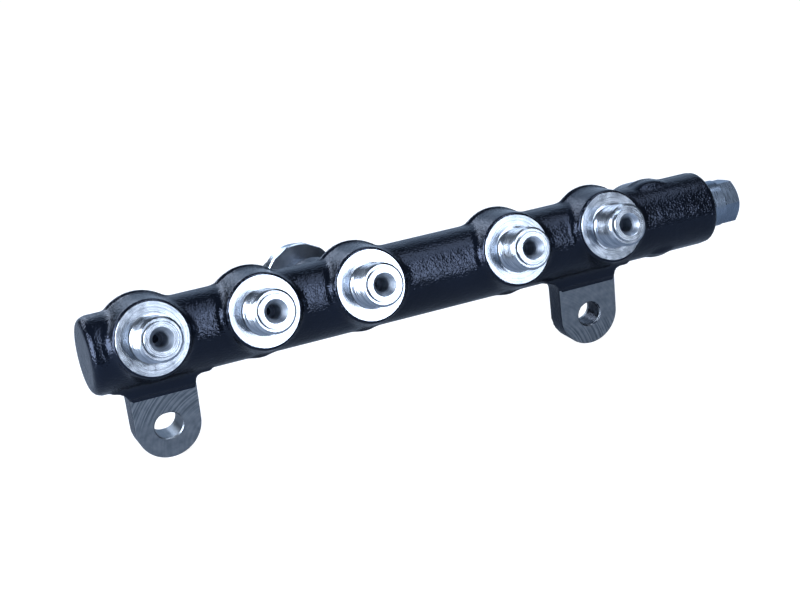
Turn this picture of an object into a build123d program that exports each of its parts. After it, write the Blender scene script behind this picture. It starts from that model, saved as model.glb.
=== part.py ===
# Fuel rail of a diesel engine: one forging with five threaded stubs and two fixing lugs,
# a screw plug in its drilled end, restrictors in the stubs and a pressure sensor on its back.
# Millimetres. The origin is the centre of the right lug's hole on the milled lug face.
# +X runs along the rail towards the plug, +Y away from the stubs, +Z up from the lugs to the rail.
from build123d import *
from math import cos, radians, sin, tan
import os

os.makedirs("parts", exist_ok=True)

# Rail tube
tube_radius = 12.3
tube_length = 220.1
left_end_round = 2.6
left_end_from_stub = 18.7
right_end_chamfer = 1.3
main_bore_radius = 5.0
main_bore_point = 2.8
left_end_wall = 9.0

# Lugs
lug_spacing = 150.0
lug_thickness = 8.6
lug_end_radius = 10.5
lug_root_half_width = 10.9
lug_hole_radius = 4.1
slot_width = 8.5
slot_length = 9.4
hole_edge_chamfer = 0.35
rail_height = 26.7
lug_root_fillet = 5.0
lug_right_root_fillet = 2.2
lug_blend_radius = 4.0
lug_core_sink = 0.02
milled_face_height = 11.6
forged_stock = 0.9

# Stubs and their bosses, measured from the spot face along the stub
stub_tilt = 15.75
first_stub_from_lug = 2.7
stub_pitch = 35.6
wide_pitch = 51.8
stub_above_rail = 1.6
spot_face_above_tube = 2.2
spot_face_reach = tube_radius + spot_face_above_tube
boss_rim_inset = 0.3
boss_rim_radius = tube_radius - boss_rim_inset
boss_rim_round = 0.7
boss_waist_bulge = 1.9
boss_waist_radius = tube_radius + boss_waist_bulge
boss_waist_round = 6.0
boss_back_inset = 0.1
boss_back_radius = tube_radius - boss_back_inset
boss_back_sink = 2.8
boss_back_reach = tube_radius - boss_back_sink
boss_back_round = 3.5
boss_blend_radius = 3.0
stub_length = 11.6
thread_radius = 7.0
thread_length = 9.8
relief_radius = 6.35
relief_length = 1.5
root_fillet = 1.3
thread_end_radius = 6.2
thread_end_length = 10.5
nose_radius = 5.43
nose_chamfer = 0.25
cone_mouth_radius = 3.7
cone_angle = 60.0
stub_bore_radius = 2.3
stub_bore_floor = 9.0
feed_bore_radius = 1.2

# Trimmed flash line round the forging
flash_on_boss = 0.6
flash_boss_radius = boss_waist_radius + flash_on_boss
flash_on_tube = 0.2
flash_thickness = 1.6
flash_corner_radius = 5.0

# Throttle inserts
insert_length = 7.0
insert_clearance = 0.02
throttle_radius = 0.45
throttle_length = 2.0
insert_bore_share = 0.55
insert_chamfer = 0.3

# Boss for the sensor and the blank boss on the back
sensor_from_third_stub = 10.0
sensor_boss_radius = 10.4
sensor_boss_above_tube = 1.3
sensor_boss_reach = tube_radius + sensor_boss_above_tube
sensor_boss_round = 0.8
sensor_boss_blend = 2.0
blank_boss_from_end = 20.2
blank_boss_above_rail = 0.3
blank_boss_bulge = 1.1
blank_boss_radius = tube_radius + blank_boss_bulge
blank_boss_draft = 0.6
blank_boss_end_radius = blank_boss_radius - blank_boss_draft
blank_boss_above_tube = 1.5
blank_boss_reach = tube_radius + blank_boss_above_tube
blank_boss_end_round = 3.0
blank_boss_front_draft = 1.0
blank_boss_front_radius = blank_boss_radius - blank_boss_front_draft
blank_boss_front_sink = 5.3
blank_boss_front_reach = tube_radius - blank_boss_front_sink
blank_boss_front_round = 3.5
blank_boss_blend = 2.0

# End plug
plug_thread_radius = 8.0
plug_thread_length = 13.0
plug_thread_clearance = 0.05
plug_seat_clearance = 0.02
plug_shank_length = 6.5
plug_shank_chamfer = 0.5
plug_hex_across = 14.0
plug_hex_length = 5.7
plug_hex_turn = 52.0
plug_hex_chamfer_angle = 30.0
plug_hex_end_radius = 6.7
plug_relief_radius = 7.2
plug_relief_length = 1.6
plug_tip_radius = 3.6
plug_seat_angle = 60.0

# Sensor, measured along its own axis from the rail's axis
sensor_tip_start = 7.0
sensor_tip_radius = 3.4
sensor_thread_start = 8.2
sensor_thread_radius = 6.0
sensor_thread_clearance = 0.05
sensor_seat_clearance = 0.02
sensor_thread_chamfer = 0.6
sensor_relief_radius = 5.3
sensor_relief_length = 1.2
sensor_neck_radius = 7.0
flange_start = 24.0
flange_thickness = 1.5
flange_across = 23.5
flange_corner_radius = 12.2
flange_edge = 0.3
flange_turn = 3.0
collar_radius = 9.8
collar_length = 3.8
cup_radius = 7.6
cup_depth = 4.0
channel_radius = 1.0

# What sits in the sensor
stack_clearance = 0.02
cell_radius = 3.0
cell_length = 2.0
cell_wall = 0.45
carrier_radius = 7.2
carrier_bore_radius = 3.6
carrier_height = 2.4
board_radius = 6.8
board_thickness = 0.8
spring_radius = 0.72
spring_wire_radius = 0.14
spring_turns = 3
spring_pocket_radius = 1.1
spring_pocket_depth = 0.8

# Sensor connector
connector_base_radius = 9.0
connector_base_length = 1.6
connector_length = 10.7
connector_half_width = 8.4
connector_half_height = 3.6
connector_wall = 1.1
connector_floor = 2.2
connector_edge = 0.4
key_width = 2.0
key_height = 0.7
key_length = 6.0
terminal_width = 1.5
terminal_thickness = 0.6
terminal_pitch = 3.6
terminal_reach = 3.4
terminal_point = 0.2
terminal_clearance = 0.02
seal_wire_radius = 0.4
seal_clearance = 0.02
sleeve_wall = 0.7
sleeve_lip = 1.2
sleeve_round = 0.5

# Cutting tools run past the metal by this much
overrun = 1.0


# Directions and places worked out from the values above
tilt_cos = cos(radians(stub_tilt))
tilt_sin = sin(radians(stub_tilt))
forward = Vector(0, -tilt_cos, tilt_sin)
upward = Vector(0, tilt_sin, tilt_cos)
rail_depth = lug_thickness / 2
left_lug_x = -lug_spacing
stub_xs = [left_lug_x - first_stub_from_lug]
for pitch in (stub_pitch, stub_pitch, wide_pitch, stub_pitch):
    stub_xs.append(stub_xs[-1] + pitch)
left_end_x = stub_xs[0] - left_end_from_stub
right_end_x = left_end_x + tube_length
sensor_x = stub_xs[2] - sensor_from_third_stub
blank_boss_x = right_end_x - blank_boss_from_end


def rail_plane(x):
    """Plane square to the rail at x, centred on its axis, facing +X."""
    return Plane(origin=(x, rail_depth, rail_height), x_dir=(0, 1, 0), z_dir=(1, 0, 0))


def rail_section():
    """Plane through the rail's axis: local X runs along the rail, local Y is the radius."""
    return Plane(origin=(0, rail_depth, rail_height), x_dir=(1, 0, 0), z_dir=(0, -1, 0))


def stub_base(x, above=stub_above_rail):
    """Point on the forging's parting plane, at x and this far above the rail's axis."""
    return Vector(x, rail_depth, rail_height) + upward * above


def stub_section(x, above=stub_above_rail):
    """Plane through such a point: local X is the radius, local Y runs out along the stubs."""
    return Plane(origin=stub_base(x, above), x_dir=(1, 0, 0), z_dir=(0, -tilt_sin, -tilt_cos))


def back_section(x):
    """Plane through an axis square to the rail: local X is the radius, local Y runs to the back."""
    return Plane(origin=(x, rail_depth, rail_height), x_dir=(1, 0, 0), z_dir=(0, 0, 1))


def sensor_plane(reach):
    """Plane square to the sensor's axis, this far from the rail's axis, facing the back, X to the right."""
    return Plane(origin=(sensor_x, rail_depth + reach, rail_height), x_dir=(1, 0, 0), z_dir=(0, 1, 0))


rail_axis = Axis((0, rail_depth, rail_height), (1, 0, 0))
sensor_axis = Axis((sensor_x, rail_depth, rail_height), (0, 1, 0))
parting_plane = Plane(origin=(0, rail_depth, rail_height), x_dir=(1, 0, 0), z_dir=(0, -tilt_cos, tilt_sin))


# One lug: the plate runs up into the tube with rounded roots on all four sides
with BuildPart() as lug:
    with BuildSketch(Plane.YZ) as lug_side:
        with Locations((rail_depth, rail_height)):
            Circle(tube_radius - lug_core_sink)
        with Locations(((lug_thickness - forged_stock) / 2, (rail_height - lug_end_radius) / 2)):
            Rectangle(lug_thickness + forged_stock, rail_height + lug_end_radius)
        fillet(lug_side.vertices().sort_by(Axis.Y)[2:4], lug_blend_radius)
    extrude(amount=lug_root_half_width + lug_root_fillet, both=True)
    with BuildSketch(Plane.XZ.offset(tube_radius)) as lug_front:
        Circle(lug_end_radius)
        with BuildLine():
            Polyline(
                (-lug_end_radius, 0),
                (lug_end_radius, 0),
                (lug_root_half_width, rail_height),
                (-lug_root_half_width, rail_height),
                close=True,
            )
        make_face()
        with Locations((0, rail_height + lug_root_fillet)):
            root_half_width = lug_root_half_width + lug_root_fillet + overrun
            Rectangle(2 * root_half_width, 2 * (tube_radius + lug_root_fillet))
        root_height = rail_height - tube_radius
        left_root = lug_front.vertices().sort_by_distance((-lug_root_half_width, root_height))[0]
        fillet(left_root, lug_root_fillet)
        right_root = lug_front.vertices().sort_by_distance((lug_root_half_width, root_height))[0]
        fillet(right_root, lug_right_root_fillet)
    extrude(amount=-2 * (tube_radius + lug_thickness), mode=Mode.INTERSECT)

with BuildPart() as rail_body:
    # Forged tube: its closed end is rounded, its drilled end is chamfered
    with BuildSketch(rail_plane(left_end_x)):
        Circle(tube_radius)
    extrude(amount=tube_length)
    fillet(rail_body.faces().sort_by(Axis.X)[0].edges(), left_end_round)
    chamfer(rail_body.faces().sort_by(Axis.X)[-1].edges(), right_end_chamfer)

    # Blank boss on the back, in line with the stubs' direction
    with BuildSketch(stub_section(blank_boss_x, blank_boss_above_rail)):
        with BuildLine():
            FilletPolyline(
                (0, blank_boss_front_reach),
                (blank_boss_front_radius, blank_boss_front_reach),
                (blank_boss_radius, 0),
                (blank_boss_end_radius, -blank_boss_reach),
                (0, -blank_boss_reach),
                radius=(blank_boss_front_round, boss_waist_round, blank_boss_end_round),
            )
            Line((0, -blank_boss_reach), (0, blank_boss_front_reach))
        make_face()
    revolve(axis=Axis(stub_base(blank_boss_x, blank_boss_above_rail), forward))
    fillet(rail_body.edges(Select.NEW), blank_boss_blend)

    # Sensor boss, square to the lug faces
    with BuildSketch(back_section(sensor_x)):
        with BuildLine():
            FilletPolyline(
                (0, sensor_boss_reach), (sensor_boss_radius, sensor_boss_reach), (sensor_boss_radius, 0),
                radius=sensor_boss_round,
            )
            Polyline((sensor_boss_radius, 0), (0, 0), (0, sensor_boss_reach))
        make_face()
    revolve(axis=sensor_axis)
    fillet(rail_body.edges(Select.NEW), sensor_boss_blend)

    # Stub bosses: drafted to a waist level with the rail's axis and blended into the tube
    for x in stub_xs:
        with BuildSketch(stub_section(x)):
            with BuildLine():
                FilletPolyline(
                    (0, spot_face_reach),
                    (boss_rim_radius, spot_face_reach),
                    (boss_waist_radius, 0),
                    (boss_back_radius, -boss_back_reach),
                    (0, -boss_back_reach),
                    radius=(boss_rim_round, boss_waist_round, boss_back_round),
                )
                Line((0, -boss_back_reach), (0, spot_face_reach))
            make_face()
        revolve(axis=Axis(stub_base(x), forward))
        fillet(rail_body.edges(Select.NEW), boss_blend_radius)

    # Lugs under the tube
    with Locations((0, 0, 0), (left_lug_x, 0, 0)):
        add(lug.part)

    # Trimmed flash that runs round the forging at its parting plane
    with BuildSketch(parting_plane) as flash:
        with Locations(((left_end_x + right_end_x) / 2, 0)):
            Rectangle(tube_length - 2 * left_end_round, 2 * (tube_radius + flash_on_tube))
        with Locations([(x, stub_above_rail) for x in stub_xs]):
            Circle(flash_boss_radius)
        with Locations((blank_boss_x, blank_boss_above_rail)):
            Circle(blank_boss_radius + flash_on_tube)
        inner_corners = flash.vertices().filter_by_position(
            Axis.X, left_end_x + tube_radius, right_end_x - tube_radius
        )
        fillet(inner_corners, flash_corner_radius)
    extrude(amount=flash_thickness / 2, both=True)

    # Turned stubs: root, relief, thread, pilot nose
    for x in stub_xs:
        with BuildSketch(stub_section(x)):
            with BuildLine() as stub_outline:
                root_top = spot_face_reach + root_fillet
                nose_top = spot_face_reach + stub_length
                RadiusArc(
                    (relief_radius + root_fillet, spot_face_reach), (relief_radius, root_top), -root_fillet
                )
                Polyline(
                    (relief_radius, root_top),
                    (relief_radius, spot_face_reach + relief_length),
                    (thread_radius, spot_face_reach + relief_length + thread_radius - relief_radius),
                    (thread_radius, spot_face_reach + thread_length),
                    (thread_end_radius, spot_face_reach + thread_end_length),
                    (nose_radius, spot_face_reach + thread_end_length),
                    (nose_radius, nose_top - nose_chamfer),
                    (nose_radius - nose_chamfer, nose_top),
                    (0, nose_top),
                    (0, 0),
                    (relief_radius + root_fillet, 0),
                    (relief_radius + root_fillet, spot_face_reach),
                )
            make_face()
        revolve(axis=Axis(stub_base(x), forward))

    # Long bore with the plug's thread and its conical seat
    seat_start = plug_thread_length + plug_relief_length
    seat_slope = tan(radians(plug_seat_angle / 2))
    plug_bore_radius = plug_thread_radius + plug_thread_clearance
    cone_start = seat_start - (plug_bore_radius - plug_relief_radius) / seat_slope
    cone_end = seat_start + (plug_relief_radius - main_bore_radius) / seat_slope
    with BuildSketch(rail_section()):
        with BuildLine():
            Polyline(
                (left_end_x + left_end_wall, 0),
                (left_end_x + left_end_wall + main_bore_point, main_bore_radius),
                (right_end_x - cone_end, main_bore_radius),
                (right_end_x - cone_start, plug_bore_radius),
                (right_end_x + overrun, plug_bore_radius),
                (right_end_x + overrun, 0),
                close=True,
            )
        make_face()
    revolve(axis=rail_axis, mode=Mode.SUBTRACT)

    # Stub bores: cone for the pipe, bore for the throttle insert, feed into the long bore
    cone_depth = (cone_mouth_radius - stub_bore_radius) / tan(radians(cone_angle / 2))
    for x in stub_xs:
        with BuildSketch(stub_section(x)):
            with BuildLine():
                Polyline(
                    (0, 0),
                    (feed_bore_radius, 0),
                    (feed_bore_radius, stub_bore_floor),
                    (stub_bore_radius, stub_bore_floor),
                    (stub_bore_radius, nose_top - cone_depth),
                    (cone_mouth_radius, nose_top),
                    (cone_mouth_radius, nose_top + overrun),
                    (0, nose_top + overrun),
                    close=True,
                )
            make_face()
        revolve(axis=Axis(stub_base(x), forward), mode=Mode.SUBTRACT)

    # Sensor port: passage, pocket for the tip, threaded hole
    with BuildSketch(back_section(sensor_x)):
        with BuildLine():
            Polyline(
                (0, 0),
                (channel_radius, 0),
                (channel_radius, sensor_tip_start - sensor_seat_clearance),
                (sensor_tip_radius + sensor_thread_clearance, sensor_tip_start - sensor_seat_clearance),
                (sensor_tip_radius + sensor_thread_clearance, sensor_thread_start - sensor_thread_clearance),
                (sensor_thread_radius + sensor_thread_clearance, sensor_thread_start - sensor_thread_clearance),
                (sensor_thread_radius + sensor_thread_clearance, sensor_boss_reach + overrun),
                (0, sensor_boss_reach + overrun),
                close=True,
            )
        make_face()
    revolve(axis=sensor_axis, mode=Mode.SUBTRACT)

    # Lug faces milled flat below the tube, then the round hole and the slot
    with BuildSketch(Plane.XZ):
        with Locations((0, 0), (left_lug_x, 0)):
            with Locations((0, (milled_face_height - lug_end_radius - overrun) / 2)):
                Rectangle(
                    2 * (lug_root_half_width + overrun),
                    milled_face_height + lug_end_radius + overrun,
                )
    extrude(amount=forged_stock + overrun, mode=Mode.SUBTRACT)
    with BuildSketch(Plane.XZ):
        Circle(lug_hole_radius)
        with Locations((left_lug_x, 0)):
            SlotOverall(slot_length, slot_width)
    extrude(amount=-lug_thickness - overrun, mode=Mode.SUBTRACT)
    chamfer(rail_body.edges(Select.NEW).group_by(Axis.Y)[0], hole_edge_chamfer)
rail_body.part.label = "rail_body"
export_step(rail_body.part, "parts/rail_body.step")

# Screw plug: hex head with its end chamfered round, threaded shank, relief and sealing cone
plug_cone_start = right_end_x - seat_start + plug_seat_clearance
plug_tip_start = plug_cone_start - (plug_relief_radius - plug_tip_radius) / seat_slope
plug_relief_start = plug_cone_start + plug_relief_length
plug_hex_start = plug_relief_start + plug_thread_length + plug_shank_length
plug_hex_end = plug_hex_start + plug_hex_length
hex_corner_radius = plug_hex_across / 2 / cos(radians(30.0))
hex_chamfer_depth = (hex_corner_radius + overrun - plug_hex_end_radius) * tan(radians(plug_hex_chamfer_angle))
with BuildPart() as plug_head:
    with BuildSketch(rail_plane(plug_hex_start - plug_shank_chamfer)):
        RegularPolygon(hex_corner_radius, 6, rotation=plug_hex_turn)
    extrude(amount=plug_hex_length + plug_shank_chamfer)
    with BuildSketch(rail_section()):
        with BuildLine():
            Polyline(
                (plug_hex_start - plug_shank_chamfer, 0),
                (plug_hex_start - plug_shank_chamfer, hex_corner_radius + overrun),
                (plug_hex_end - hex_chamfer_depth, hex_corner_radius + overrun),
                (plug_hex_end, plug_hex_end_radius),
                (plug_hex_end, 0),
                close=True,
            )
        make_face()
    revolve(axis=rail_axis, mode=Mode.INTERSECT)

with BuildPart() as end_plug:
    with BuildSketch(rail_section()):
        with BuildLine():
            Polyline(
                (plug_tip_start, 0),
                (plug_tip_start, plug_tip_radius),
                (plug_cone_start, plug_relief_radius),
                (plug_relief_start, plug_relief_radius),
                (plug_relief_start + plug_thread_radius - plug_relief_radius, plug_thread_radius),
                (plug_hex_start - plug_shank_chamfer, plug_thread_radius),
                (plug_hex_start, plug_thread_radius - plug_shank_chamfer),
                (plug_hex_start, 0),
                close=True,
            )
        make_face()
    revolve(axis=rail_axis)
    add(plug_head.part)
end_plug.part.label = "end_plug"
export_step(end_plug.part, "parts/end_plug.step")

# Throttle inserts: pressed tubes that stand on the floor of each stub's bore
throttle_bore_radius = insert_bore_share * stub_bore_radius
insert_radius = stub_bore_radius - insert_clearance
insert_start = stub_bore_floor + insert_clearance
insert_end = insert_start + insert_length
for number, x in enumerate(stub_xs, 1):
    with BuildPart() as throttle_insert:
        with BuildSketch(stub_section(x)):
            with BuildLine():
                Polyline(
                    (throttle_radius, insert_start),
                    (insert_radius - insert_chamfer, insert_start),
                    (insert_radius, insert_start + insert_chamfer),
                    (insert_radius, insert_end),
                    (throttle_bore_radius, insert_end),
                    (throttle_bore_radius, insert_start + throttle_length),
                    (throttle_radius, insert_start + throttle_length),
                    close=True,
                )
            make_face()
        revolve(axis=Axis(stub_base(x), forward))
    throttle_insert.part.label = "throttle_insert_" + str(number)
    export_step(throttle_insert.part, "parts/throttle_insert_" + str(number) + ".step")

# Sensor port: tip, thread, relief, neck, hex flange, collar with its cup, pressure channel
flange_end = flange_start + flange_thickness
collar_end = flange_end + collar_length
cup_floor = collar_end - cup_depth
neck_start = sensor_boss_reach + sensor_thread_clearance
thread_end = neck_start - sensor_relief_length
with BuildPart() as sensor_flange:
    with BuildSketch(sensor_plane(flange_start)):
        RegularPolygon(flange_across / 2 / cos(radians(30.0)), 6, rotation=-flange_turn - 30.0)
    extrude(amount=flange_thickness)
    with BuildSketch(back_section(sensor_x)):
        with BuildLine():
            Polyline(
                (0, flange_start),
                (flange_corner_radius - flange_edge, flange_start),
                (flange_corner_radius, flange_start + flange_edge),
                (flange_corner_radius, flange_end - flange_edge),
                (flange_corner_radius - flange_edge, flange_end),
                (0, flange_end),
                close=True,
            )
        make_face()
    revolve(axis=sensor_axis, mode=Mode.INTERSECT)

with BuildPart() as sensor_port:
    with BuildSketch(back_section(sensor_x)):
        with BuildLine():
            Polyline(
                (channel_radius, sensor_tip_start),
                (sensor_tip_radius, sensor_tip_start),
                (sensor_tip_radius, sensor_thread_start),
                (sensor_thread_radius - sensor_thread_chamfer, sensor_thread_start),
                (sensor_thread_radius, sensor_thread_start + sensor_thread_chamfer),
                (sensor_thread_radius, thread_end - sensor_thread_chamfer),
                (sensor_relief_radius, thread_end),
                (sensor_relief_radius, neck_start),
                (sensor_neck_radius, neck_start),
                (sensor_neck_radius, flange_start),
                (collar_radius, flange_start),
                (collar_radius, collar_end),
                (cup_radius, collar_end),
                (cup_radius, cup_floor),
                (channel_radius, cup_floor),
                close=True,
            )
        make_face()
    revolve(axis=sensor_axis)
    add(sensor_flange.part)
    with BuildSketch(sensor_plane(cup_floor)):
        Circle(cup_radius)
    extrude(amount=cup_depth, mode=Mode.SUBTRACT)
    with BuildSketch(sensor_plane(sensor_tip_start)):
        Circle(channel_radius)
    extrude(amount=cup_floor - sensor_tip_start, mode=Mode.SUBTRACT)
sensor_port.part.label = "sensor_port"
export_step(sensor_port.part, "parts/sensor_port.step")

# Diaphragm cell over the channel's mouth
cell_start = cup_floor + stack_clearance
with BuildPart() as sensor_cell:
    with BuildSketch(sensor_plane(cell_start)):
        Circle(cell_radius)
    extrude(amount=cell_length)
    with BuildSketch(sensor_plane(cell_start)):
        Circle(cell_radius - cell_wall)
    extrude(amount=cell_length - cell_wall, mode=Mode.SUBTRACT)
sensor_cell.part.label = "sensor_cell"
export_step(sensor_cell.part, "parts/sensor_cell.step")

# Ring that carries the board, and the board
board_start = cell_start + carrier_height + stack_clearance
board_end = board_start + board_thickness
with BuildPart() as sensor_carrier:
    with BuildSketch(sensor_plane(cell_start)):
        Circle(carrier_radius)
        Circle(carrier_bore_radius, mode=Mode.SUBTRACT)
    extrude(amount=carrier_height)
sensor_carrier.part.label = "sensor_carrier"
export_step(sensor_carrier.part, "parts/sensor_carrier.step")

with BuildPart() as sensor_board:
    with BuildSketch(sensor_plane(board_start)):
        Circle(board_radius)
    extrude(amount=board_thickness)
sensor_board.part.label = "sensor_board"
export_step(sensor_board.part, "parts/sensor_board.step")

# Connector: round base, oval socket, pockets for the springs, slots for the terminals, one key rib
base_start = collar_end + stack_clearance
socket_floor = base_start + connector_floor
pocket_top = base_start + spring_pocket_depth
terminal_places = [(-terminal_pitch, 0), (0, 0), (terminal_pitch, 0)]
with BuildPart() as sensor_connector:
    with BuildSketch(sensor_plane(base_start)):
        Circle(connector_base_radius)
    extrude(amount=connector_base_length)
    with BuildSketch(sensor_plane(base_start)):
        SlotOverall(2 * connector_half_width, 2 * connector_half_height)
    extrude(amount=connector_length)
    fillet(sensor_connector.faces().sort_by(Axis.Y)[-1].edges(), connector_edge)
    with BuildSketch(sensor_plane(base_start + connector_base_length)):
        with Locations((0, connector_half_height)):
            Rectangle(key_width, 2 * key_height)
    extrude(amount=key_length)
    with BuildSketch(sensor_plane(socket_floor)):
        SlotOverall(
            2 * (connector_half_width - connector_wall), 2 * (connector_half_height - connector_wall)
        )
    extrude(amount=connector_length, mode=Mode.SUBTRACT)
    with BuildSketch(sensor_plane(base_start)):
        with Locations(terminal_places):
            Circle(spring_pocket_radius)
    extrude(amount=spring_pocket_depth, mode=Mode.SUBTRACT)
    with BuildSketch(sensor_plane(base_start)):
        with Locations(terminal_places):
            Rectangle(
                terminal_width + 2 * terminal_clearance, terminal_thickness + 2 * terminal_clearance
            )
    extrude(amount=connector_floor, mode=Mode.SUBTRACT)
sensor_connector.part.label = "sensor_connector"
export_step(sensor_connector.part, "parts/sensor_connector.step")

# Terminals, and the springs that press on them from the board
spring_start = board_end + stack_clearance + spring_wire_radius
spring_height = pocket_top - stack_clearance - spring_wire_radius - spring_start
for number, place in enumerate(terminal_places, 1):
    with BuildPart() as sensor_terminal:
        with BuildSketch(sensor_plane(pocket_top)):
            with Locations(place):
                Rectangle(terminal_width, terminal_thickness)
        extrude(amount=socket_floor + terminal_reach - pocket_top)
        chamfer(sensor_terminal.faces().sort_by(Axis.Y)[-1].edges(), terminal_point)
    sensor_terminal.part.label = "sensor_terminal_" + str(number)
    export_step(sensor_terminal.part, "parts/sensor_terminal_" + str(number) + ".step")

    coil_start = (sensor_x + place[0], rail_depth + spring_start, rail_height)
    with BuildPart() as sensor_spring:
        with BuildLine() as coil:
            Helix(
                spring_height / spring_turns,
                spring_height,
                spring_radius,
                center=coil_start,
                direction=(0, 1, 0),
            )
        with BuildSketch(Plane(origin=coil.line @ 0, z_dir=coil.line % 0)):
            Circle(spring_wire_radius)
        sweep(path=coil.line, is_frenet=True)
    sensor_spring.part.label = "sensor_spring_" + str(number)
    export_step(sensor_spring.part, "parts/sensor_spring_" + str(number) + ".step")

# Rubber seal round the base, and the steel sleeve crimped over collar and base
seal_centre_radius = connector_base_radius + seal_clearance + seal_wire_radius
with BuildPart() as sensor_seal:
    with BuildSketch(back_section(sensor_x)):
        with Locations((seal_centre_radius, collar_end + seal_clearance + seal_wire_radius)):
            Circle(seal_wire_radius)
    revolve(axis=sensor_axis)
sensor_seal.part.label = "sensor_seal"
export_step(sensor_seal.part, "parts/sensor_seal.step")

seal_outer_radius = seal_centre_radius + seal_wire_radius
sleeve_bore_radius = max(collar_radius + stack_clearance, seal_outer_radius + seal_clearance)
sleeve_start = flange_end + stack_clearance
lip_start = base_start + connector_base_length + stack_clearance
lip_end = lip_start + sleeve_wall
with BuildPart() as sensor_sleeve:
    with BuildSketch(back_section(sensor_x)) as sleeve_outline:
        with BuildLine():
            Polyline(
                (sleeve_bore_radius, sleeve_start),
                (sleeve_bore_radius + sleeve_wall, sleeve_start),
                (sleeve_bore_radius + sleeve_wall, lip_end),
                (sleeve_bore_radius - sleeve_lip, lip_end),
                (sleeve_bore_radius - sleeve_lip, lip_start),
                (sleeve_bore_radius, lip_start),
                close=True,
            )
        make_face()
        crimped_corner = (sleeve_bore_radius + sleeve_wall, lip_end)
        fillet(sleeve_outline.vertices().sort_by_distance(crimped_corner)[0], sleeve_round)
    revolve(axis=sensor_axis)
sensor_sleeve.part.label = "sensor_sleeve"
export_step(sensor_sleeve.part, "parts/sensor_sleeve.step")
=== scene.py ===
import math
import bmesh
import bpy
import numpy as np
from mathutils import Matrix


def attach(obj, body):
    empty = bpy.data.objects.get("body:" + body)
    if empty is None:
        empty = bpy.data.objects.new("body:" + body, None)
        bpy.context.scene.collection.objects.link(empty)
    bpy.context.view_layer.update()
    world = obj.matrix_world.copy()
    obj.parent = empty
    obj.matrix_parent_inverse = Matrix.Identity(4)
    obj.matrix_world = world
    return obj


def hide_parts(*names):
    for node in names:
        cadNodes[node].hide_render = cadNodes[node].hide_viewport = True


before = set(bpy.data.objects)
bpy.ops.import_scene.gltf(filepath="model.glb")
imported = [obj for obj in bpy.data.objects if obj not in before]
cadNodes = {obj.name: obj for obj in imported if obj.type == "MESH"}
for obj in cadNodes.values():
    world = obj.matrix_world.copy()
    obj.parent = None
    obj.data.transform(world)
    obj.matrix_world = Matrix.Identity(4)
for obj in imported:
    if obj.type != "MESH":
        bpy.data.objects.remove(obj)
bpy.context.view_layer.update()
print("frame loaded")

mm = 0.001  # every shape below is in millimetres until it goes into a mesh

# Where things are on the rail, in the part's own frame
rail = dict(
    depth=4.3, height=26.7, rightEnd=48.7, stubTilt=15.75, stubAbove=1.6, spotFaceReach=14.5,
    stubPlaces=(-152.7, -117.1, -81.5, -29.7, 5.9), lugPlaces=(-150.0, 0.0),
    sensorPlace=-91.5, sensorBossReach=13.6,
)
tilt = math.radians(rail["stubTilt"])
across = np.array([1.0, 0.0, 0.0])
stubForward = np.array([0.0, -math.cos(tilt), math.sin(tilt)])
stubUpward = np.array([0.0, math.sin(tilt), math.cos(tilt)])


def stubBase(place):
    # where a stub's axis starts: straight above the rail's own axis, as the stub stands
    return np.array([place, rail["depth"], rail["height"]]) + stubUpward * rail["stubAbove"]


def linearColour(hexText):
    # sRGB hex to the linear values a shader takes
    channels = np.array([int(hexText[i:i + 2], 16) / 255 for i in (1, 3, 5)])
    linear = np.where(channels <= 0.04045, channels / 12.92, ((channels + 0.055) / 1.055) ** 2.4)
    return (*linear.tolist(), 1.0)


def newMaterial(name):
    material = bpy.data.materials.new(name)
    material.use_nodes = True
    material.node_tree.nodes.clear()
    return material


def addNode(material, kind, inputs=(), stops=(), **settings):
    # adds one node with its settings and links. Its inputs are a dict by name or number, or a list in order: a
    # socket, or a node for its first output, is linked, and any other value is set. Stops are a colour ramp's
    # places and hex colours
    node = material.node_tree.nodes.new(kind)
    for name, value in settings.items():
        setattr(node, name, value)
    for index, (place, colour) in enumerate(stops):
        element = node.color_ramp.elements[index]
        element.position = place
        element.color = linearColour(colour)
    for key, value in inputs.items() if isinstance(inputs, dict) else enumerate(inputs):
        if isinstance(value, bpy.types.Node):
            value = value.outputs[0]
        if isinstance(value, bpy.types.NodeSocket):
            material.node_tree.links.new(value, node.inputs[key])
        else:
            node.inputs[key].default_value = value
    return node


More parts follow.
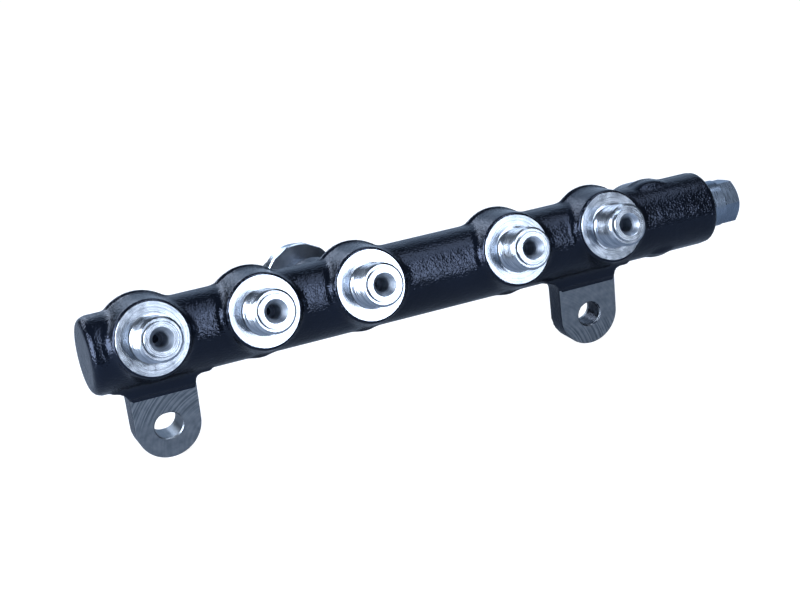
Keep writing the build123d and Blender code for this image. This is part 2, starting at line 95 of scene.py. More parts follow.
def meshFromShells(name, shells, sharpAngle=35.0, mergeDistance=None):
    # each shell is a grid of points, rows by columns by 3, whose rows and columns may close on themselves:
    # a face joins each point with its neighbour in the row, the two beyond them, and so on round. On a thread
    # the last column joins the first one turn's rows further on, so that every row follows the helix
    points, faces, uvs, offset = [], [], [], 0
    for shell in shells:
        grid = shell["points"]
        rows, columns = grid.shape[:2]
        lastRow = rows if shell.get("closeRows") else rows - 1
        lastColumn = columns if shell.get("closeColumns", True) else columns - 1
        i, j = np.meshgrid(np.arange(lastRow), np.arange(lastColumn), indexing="ij")
        nextI, nextJ = (i + 1) % rows, (j + 1) % columns
        climb = np.where(nextJ == 0, shell.get("rowsPerTurn", 0), 0)
        acrossI, beyondI = np.minimum(i + climb, rows - 1), np.minimum(nextI + climb, rows - 1)
        quads = [i * columns + j, acrossI * columns + nextJ, beyondI * columns + nextJ, nextI * columns + j]
        faces.append(np.stack(quads, -1).reshape(-1, 4) + offset)
        along = np.asarray(shell.get("along", np.arange(rows + 1, dtype=float)))
        if along.ndim == 1:
            along = np.repeat(along[:, None], columns + 1, axis=1)
        turn = np.arange(columns + 1) / columns
        corners = np.stack([
            np.stack([turn[j], along[i, j]], -1), np.stack([turn[j + 1], along[i, j + 1]], -1),
            np.stack([turn[j + 1], along[i + 1, j + 1]], -1), np.stack([turn[j], along[i + 1, j]], -1),
        ], 2)
        uvs.append(corners.reshape(-1, 2))
        points.append(grid.reshape(-1, 3))
        offset += rows * columns
    mesh = bpy.data.meshes.new(name)
    mesh.from_pydata((np.concatenate(points) * mm).tolist(), [], np.concatenate(faces).tolist())
    layer = mesh.uv_layers.new(name="turning")
    layer.data.foreach_set("uv", np.concatenate(uvs).astype(np.float32).ravel())
    if mergeDistance:
        joined = bmesh.new()
        joined.from_mesh(mesh)
        bmesh.ops.remove_doubles(joined, verts=joined.verts, dist=mergeDistance * mm)
        openEdges = sum(1 for edge in joined.edges if not edge.is_manifold)
        volume = joined.calc_volume(signed=True) / mm ** 3
        print(name, "open edges:", openEdges, "volume in cubic mm:", round(volume))
        joined.to_mesh(mesh)
        joined.free()
    mesh.shade_smooth()
    mesh.set_sharp_from_angle(angle=math.radians(sharpAngle))
    piece = bpy.data.objects.new(name, mesh)
    bpy.context.scene.collection.objects.link(piece)
    return piece


def dress(piece, material):
    piece.data.materials.clear()
    piece.data.materials.append(material)
    return piece


# Painted forging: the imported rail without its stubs, which the turned pieces below stand for. Its openings are
# stopped up and the whole is melted together on a fine net, so every edge is soft, as a blasted forging's are
forging = dict(
    cutBelowFace=0.05, cutRadius=13.0, cutSnap=0.0001, mergeDistance=0.0005,
    voxel=0.57, smoothing=0.5, smoothRounds=3,
    plugs=dict(stub=4.0, end=9.4, sensor=7.6, sides=48, depth=5.0),  # radii, and the depth that all share
)


def stopper(body, centre, direction, radius):
    # closed drum whose face lies at the centre and which runs back from it along the direction
    aslant = (0.3, 0.5, 0.81)  # any direction but the drum's own
    depth = forging["plugs"]["depth"]
    direction = np.array(direction, float)
    side = np.cross(direction, aslant)
    side = side / np.linalg.norm(side)
    other = np.cross(direction, side)
    turn = np.linspace(0, 2 * math.pi, forging["plugs"]["sides"], endpoint=False)
    ring = np.cos(turn)[:, None] * side + np.sin(turn)[:, None] * other
    front = [body.verts.new(p) for p in (centre + ring * radius) * mm]
    rear = [body.verts.new(p) for p in (centre - direction * depth + ring * radius) * mm]
    body.faces.new(front)
    body.faces.new(rear[::-1])
    for k in range(len(front)):
        n = (k + 1) % len(front)
        body.faces.new((front[n], front[k], rear[k], rear[n]))


def makeForging():
    mesh = cadNodes["rail_body"].data.copy()
    mesh.materials.clear()
    body = bmesh.new()
    body.from_mesh(mesh)
    bmesh.ops.remove_doubles(body, verts=body.verts, dist=forging["mergeDistance"] * mm)
    for place in rail["stubPlaces"]:
        base = stubBase(place)
        level = base + stubForward * (rail["spotFaceReach"] - forging["cutBelowFace"])
        body.verts.index_update()
        corners = np.array([v.co for v in body.verts]) / mm - base
        height = corners @ stubForward
        radius = np.linalg.norm(corners - np.outer(height, stubForward), axis=1)
        near = (radius < forging["cutRadius"]) & (height > 0)
        nearFaces = [f for f in body.faces if all(near[v.index] for v in f.verts)]
        nearEdges = {e for f in nearFaces for e in f.edges}
        nearVerts = {v for f in nearFaces for v in f.verts}
        bmesh.ops.bisect_plane(
            body, geom=list(nearVerts) + list(nearEdges) + nearFaces, dist=forging["cutSnap"] * mm,
            plane_co=level * mm, plane_no=stubForward, clear_outer=True,
        )
        rims = [e for e in body.edges if e.is_boundary]
        bmesh.ops.triangle_fill(body, use_beauty=True, use_dissolve=False, edges=rims, normal=stubForward)
        stopper(body, level, stubForward, forging["plugs"]["stub"])
    drilledEnd = np.array([rail["rightEnd"], rail["depth"], rail["height"]])
    sensorTop = np.array([rail["sensorPlace"], rail["depth"] + rail["sensorBossReach"], rail["height"]])
    stopper(body, drilledEnd, (1, 0, 0), forging["plugs"]["end"])
    stopper(body, sensorTop, (0, 1, 0), forging["plugs"]["sensor"])
    print("forging before the net, volume in cubic mm:", round(body.calc_volume(signed=True) / mm ** 3))
    body.to_mesh(mesh)
    body.free()
    mesh.name = "railForging"
    piece = bpy.data.objects.new("railForging", mesh)
    bpy.context.scene.collection.objects.link(piece)
    net = piece.modifiers.new("net", "REMESH")
    net.mode = "VOXEL"
    net.voxel_size = forging["voxel"] * mm
    soften = piece.modifiers.new("soften", "SMOOTH")
    soften.factor = forging["smoothing"]
    soften.iterations = forging["smoothRounds"]
    melted = bpy.data.meshes.new_from_object(piece.evaluated_get(bpy.context.evaluated_depsgraph_get()))
    piece.modifiers.clear()
    piece.data = melted
    melted.name = "railForging"
    melted.shade_smooth()
    corners = np.array([v.co for v in melted.vertices]) / mm
    print("forging box in mm:", corners.min(0).round(2), corners.max(0).round(2), "faces:", len(melted.polygons))
    return piece


# Turned stubs: spot face, dished root, relief, M14 x 1.5 thread, pilot nose and 60 degree cone
stub = dict(
    faceRadius=11.32, faceEdge=0.12, sunk=1.0, rootRadius=1.3, reliefRadius=6.35, reliefLength=1.5,
    crestRadius=7.0, threadDepth=0.65, crestShare=0.24, flankShare=0.6, pitch=1.5,
    threadEnd=10.5, threadEndRadius=6.2, noseRadius=5.43, noseEdge=0.14, length=11.6,
    mouthEdge=0.1, coneRadius=3.7, coneDepth=2.42, boreRadius=2.3,
    columns=128, rowsPerTurn=14, faceSteps=12, rootSteps=9, coneSteps=6, boreSteps=7,
    sharpAngle=18.0, mergeDistance=0.001,
)


def stubProfiles():
    # (radius, height above the spot face): one from the sunk rim over the face to the thread, and one from there
    # over the nose, down the bore and back to the rim
    s = stub
    faceRim = s["faceRadius"] - s["faceEdge"]
    root = s["reliefRadius"] + s["rootRadius"]
    lower = [(s["faceRadius"], -s["sunk"]), (s["faceRadius"], -s["faceEdge"])]
    lower += [(r, 0) for r in np.linspace(faceRim, root, s["faceSteps"])]
    lower += [(root - s["rootRadius"] * math.sin(a), s["rootRadius"] * (1 - math.cos(a)))
              for a in np.linspace(0, math.pi / 2, s["rootSteps"])[1:]]
    lower += [(s["reliefRadius"], s["reliefLength"])]
    upper = [
        (s["threadEndRadius"], s["threadEnd"]), (s["noseRadius"], s["threadEnd"]),
        (s["noseRadius"], s["length"] - s["noseEdge"]), (s["noseRadius"] - s["noseEdge"], s["length"]),
        (s["coneRadius"] + s["mouthEdge"], s["length"]),
    ]
    coneSlope = s["coneDepth"] / (s["coneRadius"] - s["boreRadius"])
    upper += [(r, s["length"] - s["mouthEdge"] / 2 - (s["coneRadius"] - r) * coneSlope)
              for r in np.linspace(s["coneRadius"], s["boreRadius"], s["coneSteps"])]
    boreTop = s["length"] - s["coneDepth"]
    upper += [(s["boreRadius"], z) for z in np.linspace(boreTop, -s["sunk"], s["boreSteps"])[1:]]
    return np.array(lower), np.array(upper + lower[:1])


def makeStub(number, place):
    # two profiles turned about the stub's axis, with the thread between them: its rows climb one pitch each turn,
    # and their radius is the least of three: the ridge at that row's share of the pitch, run-in and end chamfer.
    # The thread is no deeper than the relief, so that its clipped ends meet the rings below and above it
    s = stub
    lower, upper = stubProfiles()
    turn = np.linspace(0, 2 * math.pi, s["columns"], endpoint=False)
    rise = s["pitch"] / s["rowsPerTurn"]
    low, high = s["reliefLength"], s["threadEnd"]
    row = np.arange(math.ceil((high - low) / rise) + s["rowsPerTurn"] + 1)[:, None]
    height = np.clip(low + row * rise - s["pitch"] * (1 - np.linspace(0, 1, s["columns"] + 1)), low, high)
    fromCrest = np.abs((low / s["pitch"] + row / s["rowsPerTurn"]) % 1.0 - 0.5) * 2
    ridge = s["crestRadius"] - s["threadDepth"] * np.clip((fromCrest - s["crestShare"]) / s["flankShare"], 0, 1)
    radius = np.minimum(ridge, np.minimum(s["reliefRadius"] + height - low, s["threadEndRadius"] + high - height))
    base = stubBase(place) + stubForward * rail["spotFaceReach"]
    ring = np.cos(turn)[:, None] * across + np.sin(turn)[:, None] * stubUpward

    def turned(radii, heights):
        return base + heights[..., None] * stubForward + radii[..., None] * ring[None]

    def lengths(profile, start):
        return start + np.concatenate([[0], np.cumsum(np.linalg.norm(np.diff(profile, axis=0), axis=1))])

    wide = np.ones((1, s["columns"]))
    lowerLengths = lengths(lower, 0)
    threadLengths = lowerLengths[-1] + height - low
    upperLengths = lengths(upper, threadLengths.max())
    return meshFromShells("turnedStub" + str(number), [
        dict(points=turned(lower[:, :1] * wide, lower[:, 1:] * wide), along=lowerLengths),
        dict(points=turned(radius[:, :-1], height[:, :-1]), along=threadLengths, rowsPerTurn=s["rowsPerTurn"]),
        dict(points=turned(upper[:, :1] * wide, upper[:, 1:] * wide), along=upperLengths),
    ], s["sharpAngle"], s["mergeDistance"])


# Milled lug faces, each with its hole's wall
lugFace = dict(
    proud=0.012, depth=0.4, endRadius=10.5, rootHalfWidth=10.9, top=11.6, edge=0.1,
    holeRadius=4.09, slotReach=0.45, holeEdge=0.35, thickness=8.6, liner=0.25, columns=240, faceSteps=8,
)


def makeLugFace(name, place, slotReach):
    # polar grid about the hole: the inner edge is the hole, or a slot made of two half circles, and the outer edge
    # is where the same ray meets the lug's outline, a half circle below two straight sides and a straight top
    s = lugFace
    least = 1e-6  # keeps a ray that misses a side from dividing by nothing
    slope = (s["rootHalfWidth"] - s["endRadius"]) / rail["height"]
    corner = math.atan2(s["top"], s["endRadius"] + slope * s["top"])
    turn = np.linspace(0, 2 * math.pi, s["columns"], endpoint=False)
    turn = np.unique(np.concatenate([turn, [corner, math.pi - corner]]))
    c, n = np.cos(turn), np.sin(turn)
    side = s["endRadius"] / np.maximum(np.abs(c) - slope * n, least)
    top = s["top"] / np.maximum(n, least)
    outer = np.where(n > 0, np.minimum(side, top), s["endRadius"])
    outerLine = np.stack([outer * c, outer * n], -1)
    half = np.sign(np.round(c, 9))  # which half circle a point is on, and 0 between them
    inner = np.stack([s["holeRadius"] * c + half * slotReach, s["holeRadius"] * n], -1)
    outward = inner / np.linalg.norm(inner, axis=1)[:, None]
    faceRim = outerLine * (1 - s["edge"] / outer)[:, None]
    holeRim = inner + outward * s["holeEdge"]
    linerLine = inner + outward * s["liner"]
    rear = s["thickness"] + s["proud"]
    rows = [(outerLine, s["depth"]), (outerLine, s["edge"] - s["proud"])]
    rows += [(faceRim * (1 - share) + holeRim * share, -s["proud"]) for share in np.linspace(0, 1, s["faceSteps"])]
    rows += [(inner, s["holeEdge"]), (inner, s["thickness"] / 2), (inner, rear)]
    rows += [(linerLine, rear), (linerLine, s["depth"])]
    points = np.stack([np.stack([place + line[:, 0], np.full(len(turn), y), line[:, 1]], -1) for line, y in rows])
    return meshFromShells(name, [dict(points=points, closeRows=True)])


# Finishes. Sizes are in millimetres, and a bump is its strength and its depth
noiseSpan = (0.3, 0.7)  # where nearly all of a noise texture's values lie


# Black stoved paint over a shot-blasted steel forging: semi-gloss, with the blasted grain showing through it
def makeForgingPaint():
    look = dict(
        paint="#060910", thin="#0b101a", patch=16.0, sheen="#ccdcff", roughness=(0.1, 0.17),
        relief=((8.0, 0.5, 0.6), (2.0, 0.5, 0.2), (0.62, 1.0, 0.15)),  # waves, peel and grain: size, then bump
    )
    material = newMaterial("stovedPaintOnForging")
    place = addNode(material, "ShaderNodeTexCoord").outputs["Object"]
    patches = addNode(material, "ShaderNodeTexNoise", {
        "Vector": place, "Scale": 1 / (look["patch"] * mm), "Detail": 3.0,
    })
    colour = addNode(material, "ShaderNodeValToRGB", [patches], stops=((0.35, look["paint"]), (0.75, look["thin"])))
    under = {}
    for size, strength, depth in look["relief"]:
        height = addNode(material, "ShaderNodeTexNoise", {"Vector": place, "Scale": 1 / (size * mm), "Detail": 1.0})
        bump = {"Strength": strength, "Distance": depth * mm, "Height": height, **under}
        under = {"Normal": addNode(material, "ShaderNodeBump", bump)}
    shader = addNode(material, "ShaderNodeBsdfPrincipled", {
        "Base Color": colour, "Specular Tint": linearColour(look["sheen"]), "IOR": 1.5, **under,
        "Roughness": addNode(material, "ShaderNodeMapRange", [patches, *noiseSpan, *look["roughness"]]),
    })
    addNode(material, "ShaderNodeOutputMaterial", {"Surface": shader})
    return material


# Carbon steel turned on a lathe: bright and even, and duller in the cone, which a form tool cut. The real feed of
# about 0.1 mm is too fine to show, so faint rings are drawn about 0.5 mm apart
def makeTurnedSteel():
    look = dict(
        light="#ccd3dc", dark="#a2abb7", ring=0.5, ringBump=(0.3, 0.03), stain=3.0, toneSpan=(0.6, 1.4),
        roughness=(0.19, 0.27), coneFrom=(19.3, 19.4), coneDuller=0.2,  # where the profile enters the cone
    )
    material = newMaterial("turnedSteel")
    place = addNode(material, "ShaderNodeTexCoord").outputs["Object"]
    turning = addNode(material, "ShaderNodeUVMap", uv_map="turning")
    along = addNode(material, "ShaderNodeSeparateXYZ", [turning]).outputs[1]  # millimetres along the profile
    rings = addNode(material, "ShaderNodeTexNoise", {
        "W": along, "Scale": 1 / look["ring"], "Detail": 2.0,
    }, noise_dimensions="1D")
    stains = addNode(material, "ShaderNodeTexNoise", {
        "Vector": place, "Scale": 1 / (look["stain"] * mm), "Detail": 5.0,
    })
    mixed = addNode(material, "ShaderNodeMath", [rings, stains], operation="ADD")
    tone = addNode(material, "ShaderNodeMapRange", [mixed, *look["toneSpan"], 0, 1])
    even = addNode(material, "ShaderNodeMapRange", [stains, *noiseSpan, *look["roughness"]])
    inCone = addNode(material, "ShaderNodeMapRange", [along, *look["coneFrom"], 0, look["coneDuller"]])
    colour = addNode(material, "ShaderNodeValToRGB", [tone], stops=((0.2, look["dark"]), (0.75, look["light"])))
    shader = addNode(material, "ShaderNodeBsdfPrincipled", {
        "Base Color": colour, "Metallic": 1.0,
        "Roughness": addNode(material, "ShaderNodeMath", [even, inCone], operation="ADD"),
        "Normal": addNode(material, "ShaderNodeBump", {
            "Strength": look["ringBump"][0], "Distance": look["ringBump"][1] * mm, "Height": rings,
        }),
    })
    addNode(material, "ShaderNodeOutputMaterial", {"Surface": shader})
    return material


# Carbon steel face-milled in one pass: grey, with curved cutter marks that show where the cutter was blunt, about
# a millimetre apart, and fade to a plain face
def makeMilledSteel(name, cutterX, cutterZ, strongZ, faintZ):
    look = dict(
        light="#9ba0a6", dark="#6f767d", mark=0.75, markTone=(-0.5, 0.5), markDepth=0.05, faint=0.12, cloud=2.5,
        roughness=(0.34, 0.42),
    )
    material = newMaterial(name)
    place = addNode(material, "ShaderNodeTexCoord").outputs["Object"]
    fromCutter = addNode(material, "ShaderNodeMapping", {
        "Vector": place, "Location": (-cutterX * mm, 0, -cutterZ * mm), "Scale": (1.0, 0.0, 1.0),
    })
    reach = addNode(material, "ShaderNodeVectorMath", [fromCutter], operation="LENGTH").outputs["Value"]
    level = addNode(material, "ShaderNodeSeparateXYZ", [place]).outputs[2]
    marks = addNode(material, "ShaderNodeTexNoise", {
        "W": reach, "Scale": 1 / (look["mark"] * mm), "Detail": 1.0,
    }, noise_dimensions="1D")
    cloud = addNode(material, "ShaderNodeTexNoise", {
        "Vector": place, "Scale": 1 / (look["cloud"] * mm), "Detail": 4.0,
    })
    blunt = addNode(material, "ShaderNodeMapRange", [level, faintZ * mm, strongZ * mm, look["faint"], 1.0])
    markTone = addNode(material, "ShaderNodeMapRange", [marks, *noiseSpan, *look["markTone"]])
    markTone = addNode(material, "ShaderNodeMath", [markTone, blunt], operation="MULTIPLY")
    tone = addNode(material, "ShaderNodeMath", [cloud, markTone], operation="ADD")
    colour = addNode(material, "ShaderNodeValToRGB", [tone], stops=((0.15, look["dark"]), (0.85, look["light"])))
    shader = addNode(material, "ShaderNodeBsdfPrincipled", {
        "Base Color": colour, "Metallic": 1.0,
        "Roughness": addNode(material, "ShaderNodeMapRange", [cloud, *noiseSpan, *look["roughness"]]),
        "Normal": addNode(material, "ShaderNodeBump", {
            "Strength": blunt, "Distance": look["markDepth"] * mm, "Height": marks,
        }),
    })
    addNode(material, "ShaderNodeOutputMaterial", {"Surface": shader})
    return material


# Machined steel with a thin clear zinc coat: cool, even, slightly clouded
def makePlatedSteel():
    look = dict(
        light="#9ba9ba", dark="#8491a2", cloud=6.0, roughness=(0.24, 0.36),
        scratchesPerMetre=(4000.0, 300.0, 300.0), scratchDepth=0.05,
    )
    material = newMaterial("zincPlatedSteel")
    place = addNode(material, "ShaderNodeTexCoord").outputs["Object"]
    cloud = addNode(material, "ShaderNodeTexNoise", {
        "Vector": place, "Scale": 1 / (look["cloud"] * mm), "Detail": 4.0,
    })
    scratches = addNode(material, "ShaderNodeMapping", {"Vector": place, "Scale": look["scratchesPerMetre"]})
    lines = addNode(material, "ShaderNodeTexNoise", {"Vector": scratches, "Scale": 1.0, "Detail": 2.0})
    colour = addNode(material, "ShaderNodeValToRGB", [cloud], stops=((0.3, look["dark"]), (0.7, look["light"])))
    shader = addNode(material, "ShaderNodeBsdfPrincipled", {
        "Base Color": colour, "Metallic": 1.0,
        "Roughness": addNode(material, "ShaderNodeMapRange", [lines, *noiseSpan, *look["roughness"]]),
        "Normal": addNode(material, "ShaderNodeBump", {
            "Strength": 0.25, "Distance": look["scratchDepth"] * mm, "Height": lines,
        }),
    })
    addNode(material, "ShaderNodeOutputMaterial", {"Surface": shader})
    return material


# Stainless steel: its broad faces blasted matt and grey with fine beads, its edges and sides machined bright
def makeBlastedSteel():
    look = dict(
        light="#8c939d", dark="#666d78", edge="#c9d2dd", cloud=5.0, grain=0.35, grainDepth=0.05,
        machinedFrom=(0.9, 0.97), roughness=(0.44, 0.2),  # roughness where blasted, and where machined
    )
    material = newMaterial("beadBlastedSteel")
    place = addNode(material, "ShaderNodeTexCoord").outputs["Object"]
    normal = addNode(material, "ShaderNodeNewGeometry").outputs["Normal"]
    facing = addNode(material, "ShaderNodeSeparateXYZ", [normal]).outputs[1]
    facing = addNode(material, "ShaderNodeMath", [facing], operation="ABSOLUTE")
    machined = addNode(material, "ShaderNodeMapRange", [facing, *look["machinedFrom"], 1, 0])
    grain = addNode(material, "ShaderNodeTexNoise", {
        "Vector": place, "Scale": 1 / (look["grain"] * mm), "Detail": 2.0,
    })
    cloud = addNode(material, "ShaderNodeTexNoise", {
        "Vector": place, "Scale": 1 / (look["cloud"] * mm), "Detail": 3.0,
    })
    blasted = addNode(material, "ShaderNodeValToRGB", [cloud], stops=((0.3, look["dark"]), (0.7, look["light"])))
    colours = {0: machined, 6: blasted, 7: linearColour(look["edge"])}
    shader = addNode(material, "ShaderNodeBsdfPrincipled", {
        "Base Color": addNode(material, "ShaderNodeMix", colours, data_type="RGBA").outputs[2],
        "Metallic": 1.0, "Roughness": addNode(material, "ShaderNodeMapRange", [machined, 0, 1, *look["roughness"]]),
        "Normal": addNode(material, "ShaderNodeBump", {
            "Strength": 0.4, "Distance": look["grainDepth"] * mm, "Height": grain,
        }),
    })
    addNode(material, "ShaderNodeOutputMaterial", {"Surface": shader})
    return material


# Plastic or rubber moulded against an eroded tool: fine even grain, and faint clouds where it flowed
def makeMoulded(name, light, dark, roughness):
    look = dict(grain=0.4, grainDepth=0.04, flow=6.0, smoother=0.05, rougher=0.07)
    material = newMaterial(name)
    place = addNode(material, "ShaderNodeTexCoord").outputs["Object"]
    grain = addNode(material, "ShaderNodeTexNoise", {
        "Vector": place, "Scale": 1 / (look["grain"] * mm), "Detail": 2.0,
    })
    flow = addNode(material, "ShaderNodeTexNoise", {
        "Vector": place, "Scale": 1 / (look["flow"] * mm), "Detail": 2.0,
    })
    roughnessSpan = (roughness - look["smoother"], roughness + look["rougher"])
    colour = addNode(material, "ShaderNodeValToRGB", [flow], stops=((0.3, dark), (0.7, light)))
    shader = addNode(material, "ShaderNodeBsdfPrincipled", {
        "Base Color": colour, "IOR": 1.53,
        "Roughness": addNode(material, "ShaderNodeMapRange", [grain, *noiseSpan, *roughnessSpan]),
        "Normal": addNode(material, "ShaderNodeBump", {
            "Strength": 0.3, "Distance": look["grainDepth"] * mm, "Height": grain,
        }),
    })
    addNode(material, "ShaderNodeOutputMaterial", {"Surface": shader})
    return material


# Hard gold plated over nickel on bronze: warm, with fine rolled lines
def makeGoldPlate():
    look = dict(light="#e0bd6c", dark="#c9a24e", line=0.5, roughness=(0.2, 0.3))
    material = newMaterial("goldPlatedBronze")
    place = addNode(material, "ShaderNodeTexCoord").outputs["Object"]
    lines = addNode(material, "ShaderNodeTexNoise", {
        "Vector": place, "Scale": 1 / (look["line"] * mm), "Detail": 3.0,
    })
    colour = addNode(material, "ShaderNodeValToRGB", [lines], stops=((0.3, look["dark"]), (0.7, look["light"])))
    shader = addNode(material, "ShaderNodeBsdfPrincipled", {
        "Base Color": colour, "Metallic": 1.0,
        "Roughness": addNode(material, "ShaderNodeMapRange", [lines, *noiseSpan, *look["roughness"]]),
    })
    addNode(material, "ShaderNodeOutputMaterial", {"Surface": shader})
    return material


forgingPaint = makeForgingPaint()
turnedSteel = makeTurnedSteel()
milledSteelLeft = makeMilledSteel("milledSteelLeft", cutterX=-134.0, cutterZ=-10.0, strongZ=5.0, faintZ=1.0)
milledSteelRight = makeMilledSteel("milledSteelRight", cutterX=-22.0, cutterZ=-16.0, strongZ=-6.0, faintZ=-2.0)
platedSteel = makePlatedSteel()
blastedSteel = makeBlastedSteel()
blackPolyamide = makeMoulded("blackPolyamide", "#1d232c", "#14181f", 0.4)  # glass-filled
whitePolyamide = makeMoulded("naturalPolyamide", "#cfcabb", "#bab4a4", 0.45)
boardResist = makeMoulded("solderResist", "#1f6b42", "#175534", 0.25)  # cured epoxy over the board's glass cloth
sealRubber = makeMoulded("fluorocarbonRubber", "#1c1c1d", "#131314", 0.6)
goldPlate = makeGoldPlate()
print("finishes made")

# Pieces
forgingPiece = dress(makeForging(), forgingPaint)
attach(forgingPiece, "root")
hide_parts("rail_body")
print("forging made, faces:", len(forgingPiece.data.polygons))

for number, place in enumerate(rail["stubPlaces"], 1):
    stubPiece = dress(makeStub(number, place), turnedSteel)
    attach(stubPiece, "root")
print("stubs made, faces each:", len(stubPiece.data.polygons))

lugFaces = (
    ("milledFaceLeft", rail["lugPlaces"][0], lugFace["slotReach"], milledSteelLeft),
    ("milledFaceRight", rail["lugPlaces"][1], 0.0, milledSteelRight),
)
for name, place, slotReach, steel in lugFaces:
    facePiece = dress(makeLugFace(name, place, slotReach), steel)
    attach(facePiece, "root")
print("lug faces made")

finishOfNode = {
    "end_plug": platedSteel, "sensor_port": blastedSteel, "sensor_sleeve": blastedSteel,
    "sensor_cell": blastedSteel, "sensor_connector": blackPolyamide, "sensor_carrier": whitePolyamide,
    "sensor_board": boardResist, "sensor_seal": sealRubber,
}
for name, node in cadNodes.items():
    if name.startswith("throttle_insert"):
        dress(node, blastedSteel)
    elif name.startswith(("sensor_spring", "sensor_terminal")):
        dress(node, goldPlate)
    elif name in finishOfNode:
        dress(node, finishOfNode[name])

# Floor and backdrop: pale paper, white to the camera, with the rail's faint shadow. Mirrored in the rail it is dim
# in front and at the left, and bright behind and at the right, as in the dark studio of the photograph
stage = dict(
    floorLevel=-10.5, front=-320.0, left=-450.0, right=3000.0, backReach=1600.0, bendRadius=500.0, height=2500.0,
    bendSteps=17,
)
paper = dict(
    colour="#8a929d", roughness=0.9, glow=0.93, mirroredGlow=(0.06, 0.6), mirroredColour="#c0dcff",
    behind=(0.02, 0.12), atRight=(-0.08, 0.2), lean=0.5,  # metres in y, and in x + lean * y, that it brightens over
)


def makeBackdrop():
    # a flat floor, a quarter circle and an upright wall, carried across the view
    radius = stage["bendRadius"]
    line = [(stage["front"], 0)]
    line += [(stage["backReach"] + radius * math.sin(a), radius * (1 - math.cos(a)))
             for a in np.linspace(0, math.pi / 2, stage["bendSteps"])]
    line += [(stage["backReach"] + radius, stage["height"])]
    line = np.array(line)
    points = np.stack([
        np.stack([np.full(len(line), x), line[:, 0], line[:, 1] + stage["floorLevel"]], -1)
        for x in (stage["right"], stage["left"])
    ], 1)
    return meshFromShells("backdrop", [dict(points=points, closeColumns=False)])


def makePaper():
    material = newMaterial("backdropPaper")
    path = addNode(material, "ShaderNodeLightPath").outputs
    place = addNode(material, "ShaderNodeTexCoord").outputs["Object"]
    x, y = addNode(material, "ShaderNodeSeparateXYZ", [place]).outputs[:2]
    direct = [path["Is Camera Ray"], path["Is Transmission Ray"]]
    seen = addNode(material, "ShaderNodeMath", direct, operation="MAXIMUM")
    toRight = addNode(material, "ShaderNodeMath", [y, paper["lean"], x], operation="MULTIPLY_ADD")
    behind = addNode(material, "ShaderNodeMapRange", [y, *paper["behind"], 0, 1])
    atRight = addNode(material, "ShaderNodeMapRange", [toRight, *paper["atRight"], 0, 1])
    bright = addNode(material, "ShaderNodeMath", [behind, atRight], operation="MULTIPLY")
    mirrored = addNode(material, "ShaderNodeMapRange", [bright, 0, 1, *paper["mirroredGlow"]])
    mirrored = addNode(material, "ShaderNodeMath", [path["Is Glossy Ray"], mirrored], operation="MULTIPLY")
    glow = addNode(material, "ShaderNodeMath", [seen, paper["glow"], mirrored], operation="MULTIPLY_ADD")
    colours = {0: seen, 6: linearColour(paper["mirroredColour"]), 7: (1, 1, 1, 1)}
    shader = addNode(material, "ShaderNodeBsdfPrincipled", {
        "Base Color": linearColour(paper["colour"]), "Roughness": paper["roughness"],
        "Emission Color": addNode(material, "ShaderNodeMix", colours, data_type="RGBA").outputs[2],
        "Emission Strength": glow,
    })
    addNode(material, "ShaderNodeOutputMaterial", {"Surface": shader})
    return material


backdropPaper = makePaper()
dress(makeBackdrop(), backdropPaper)
print("backdrop made")

# Light: a dim cool room that is white to the camera, a soft box at the left, a tall strip in front, a box overhead
# and a low one behind, which shows the back's forms
room = dict(colour="#c2d4ec", strength=0.11, shownStrength=1.0)
world = bpy.data.worlds.new("studio")
bpy.context.scene.world = world
world.use_nodes = True
worldShader = world.node_tree.nodes["Background"]
path = addNode(world, "ShaderNodeLightPath").outputs
shown = addNode(world, "ShaderNodeMath", [path["Is Camera Ray"], path["Is Transmission Ray"]], operation="MAXIMUM")
surround = addNode(world, "ShaderNodeMix", {
    0: shown, 6: linearColour(room["colour"]), 7: (1, 1, 1, 1),
}, data_type="RGBA")
strength = addNode(world, "ShaderNodeMapRange", [shown, 0, 1, room["strength"], room["shownStrength"]])
world.node_tree.links.new(surround.outputs[2], worldShader.inputs["Color"])
world.node_tree.links.new(strength.outputs[0], worldShader.inputs["Strength"])

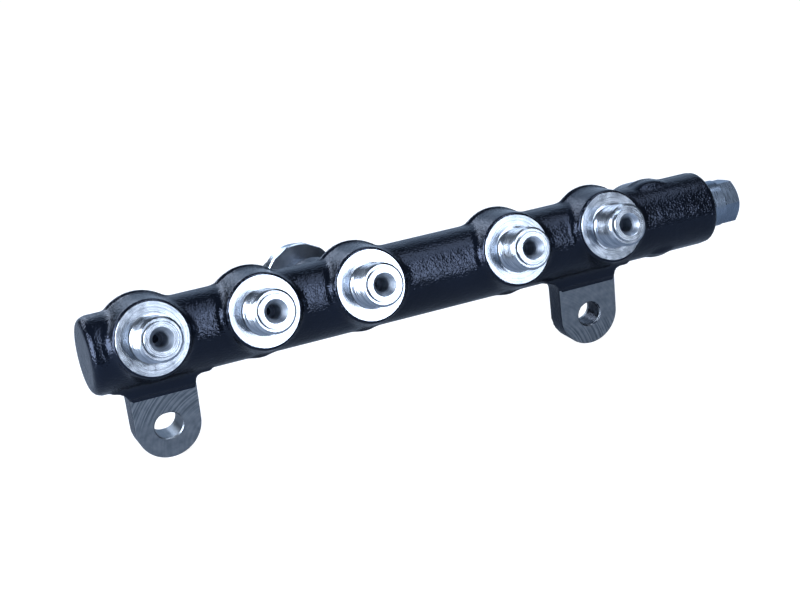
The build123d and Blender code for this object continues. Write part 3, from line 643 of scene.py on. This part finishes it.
lightCentre = (-0.06, 0.0, 0.03)
lamps = (  # turn to the right of the front and rise above the level in degrees, reach and size in metres
    dict(name="leftBox", turn=-75.0, rise=20.0, reach=1.1, size=(0.98, 0.82), radiance=10.5, colour="#e3ecfa"),
    dict(name="frontBox", turn=18.8, rise=32.0, reach=1.1, size=(0.28, 1.27), radiance=7.2, colour="#e3ecfa"),
    dict(name="topBox", turn=60.0, rise=68.0, reach=1.1, size=(0.8, 0.5), radiance=2.2, colour="#dce8fa"),
    dict(name="rearBox", turn=-157.0, rise=28.0, reach=1.1, size=(0.95, 0.35), radiance=3.0, colour="#dce8fa"),
)
for lamp in lamps:
    data = bpy.data.lights.new(lamp["name"], "AREA")
    data.shape = "RECTANGLE"
    data.size, data.size_y = lamp["size"]
    data.energy = lamp["radiance"] * math.pi * lamp["size"][0] * lamp["size"][1]  # watts that give this brightness
    data.color = linearColour(lamp["colour"])[:3]
    lampObject = bpy.data.objects.new(lamp["name"], data)
    bpy.context.scene.collection.objects.link(lampObject)
    turn, rise = math.radians(lamp["turn"]), math.radians(lamp["rise"])
    back = np.array([math.cos(rise) * math.sin(turn), -math.cos(rise) * math.cos(turn), math.sin(rise)])
    side = np.cross([0, 0, 1], back)
    side = side / np.linalg.norm(side)
    columns = np.stack([side, np.cross(back, side), back, np.array(lightCentre) + back * lamp["reach"]], -1)
    lampObject.matrix_world = Matrix([*columns.tolist(), (0, 0, 0, 1)])

# Camera where the photograph was taken from
view = dict(
    matrix=((0.905907, 0.227107, -0.357428, -0.26120189), (-0.409895, 0.258206, -0.874823, -0.47106888),
            (-0.106389, 0.939016, 0.327001, 0.197702584), (0, 0, 0, 1)),
    lens=75.264, sensorWidth=36.0, nearest=0.01,
)
camera = bpy.data.objects.new("camera", bpy.data.cameras.new("camera"))
bpy.context.scene.collection.objects.link(camera)
camera.matrix_world = Matrix(view["matrix"])
camera.data.lens = view["lens"]
camera.data.sensor_width = view["sensorWidth"]
camera.data.clip_start = view["nearest"]
bpy.context.scene.camera = camera
bpy.context.scene.view_settings.view_transform = "Standard"
print("light and camera set")
